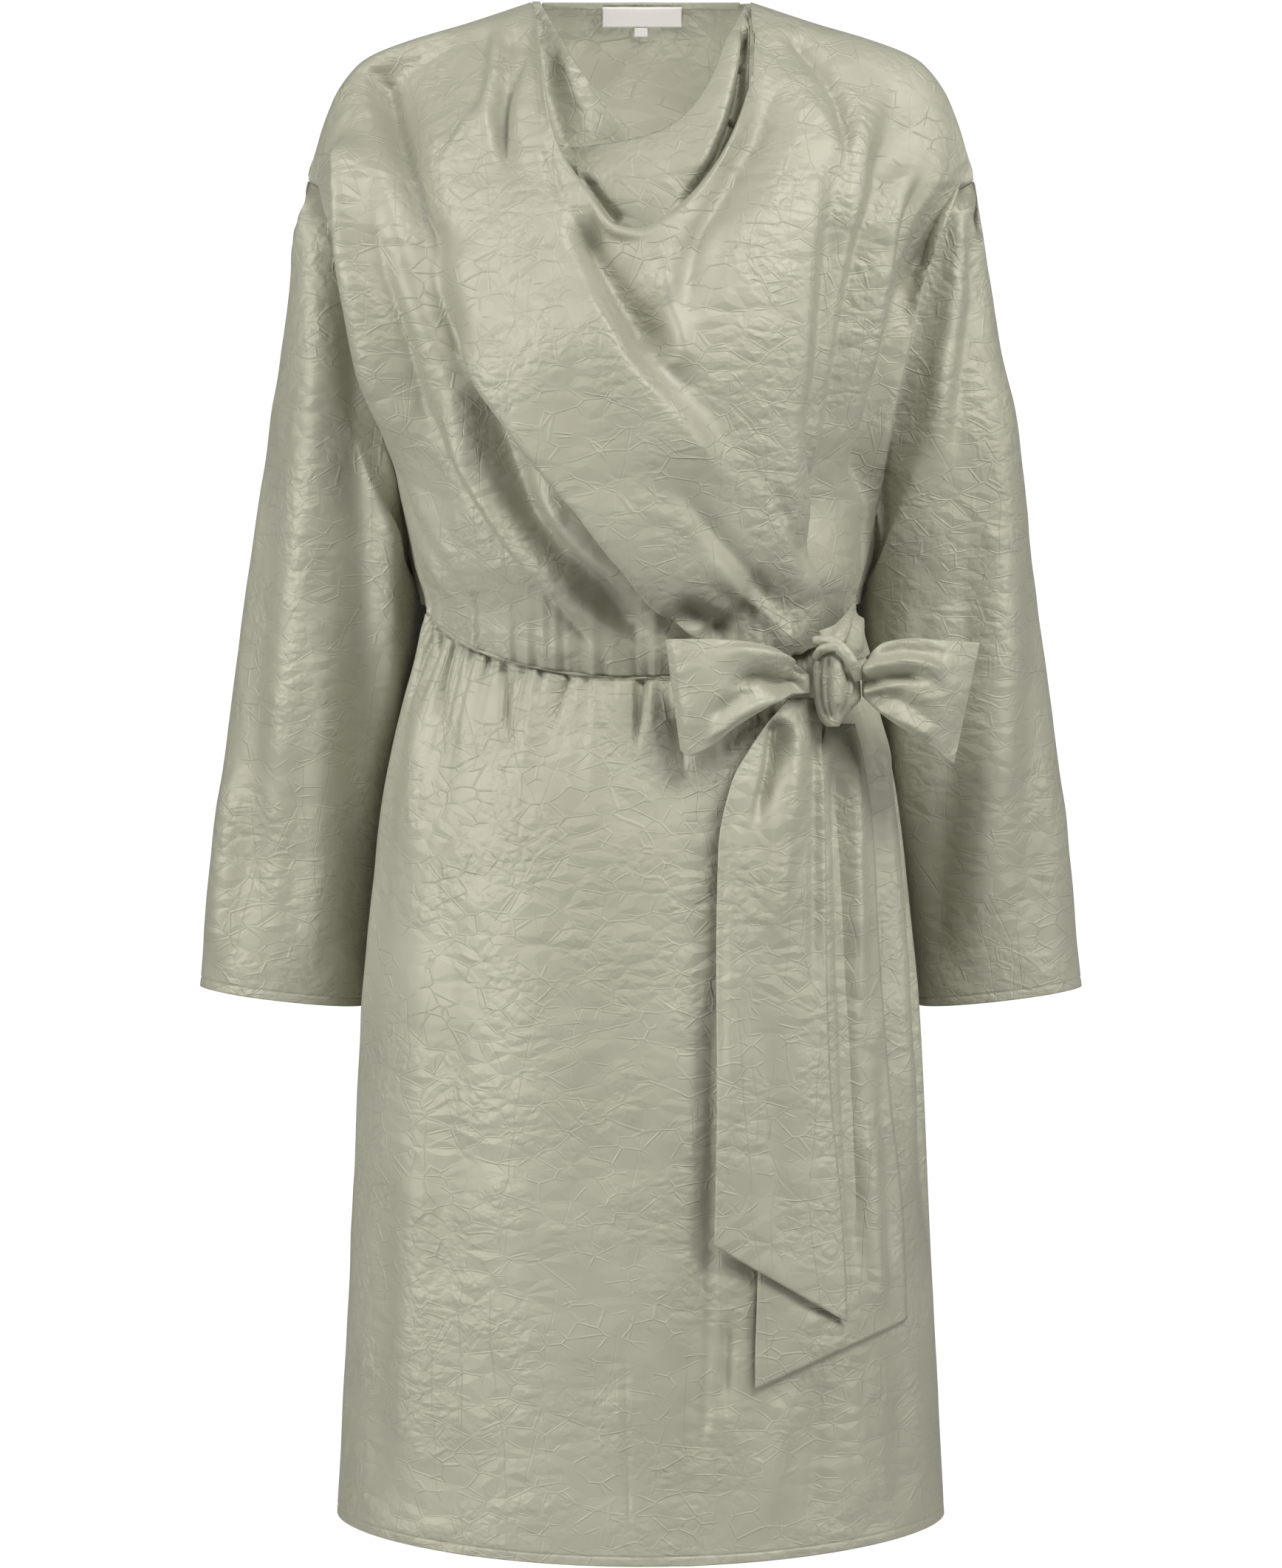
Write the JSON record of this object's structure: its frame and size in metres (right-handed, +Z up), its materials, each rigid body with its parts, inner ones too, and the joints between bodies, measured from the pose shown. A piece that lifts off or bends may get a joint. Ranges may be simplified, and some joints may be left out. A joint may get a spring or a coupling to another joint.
{
  "type": "draped dress",
  "caption": "Hollow worn knee-length satin dress: cowl neck, front draped across to a tied bow at the wearer's left waist, wide long sleeves, gathered skirt.",
  "frame": {"origin": "midway between the shoulders, at the height where the wearer's shoulders carry the dress, on the shoulder seams' own depth", "axes": "+Z up; -Y out of the front of the dress; +X towards the wearer's left"},
  "size_m": [0.59, 0.2769, 1.0015],
  "materials": {
    "satin": "crinkled sage-green satin with a soft sheen",
    "label": "off-white woven ribbon, matt"
  },
  "bodies": {
    "root": {"bodice_front": "satin", "cowl_fold": "satin", "neck_underlayer": "satin", "bodice_back": "satin", "neck_band_back": "satin", "sleeve_right": "satin", "sleeve_left": "satin", "skirt_front": "satin", "skirt_back": "satin", "sash_strap": "satin", "sash_knot": "satin", "bow_loop_right": "satin", "bow_loop_left": "satin", "sash_tail_front": "satin", "sash_tail_back": "satin", "brand_label": "label", "size_tab": "label"}
  },
  "joints": []
}
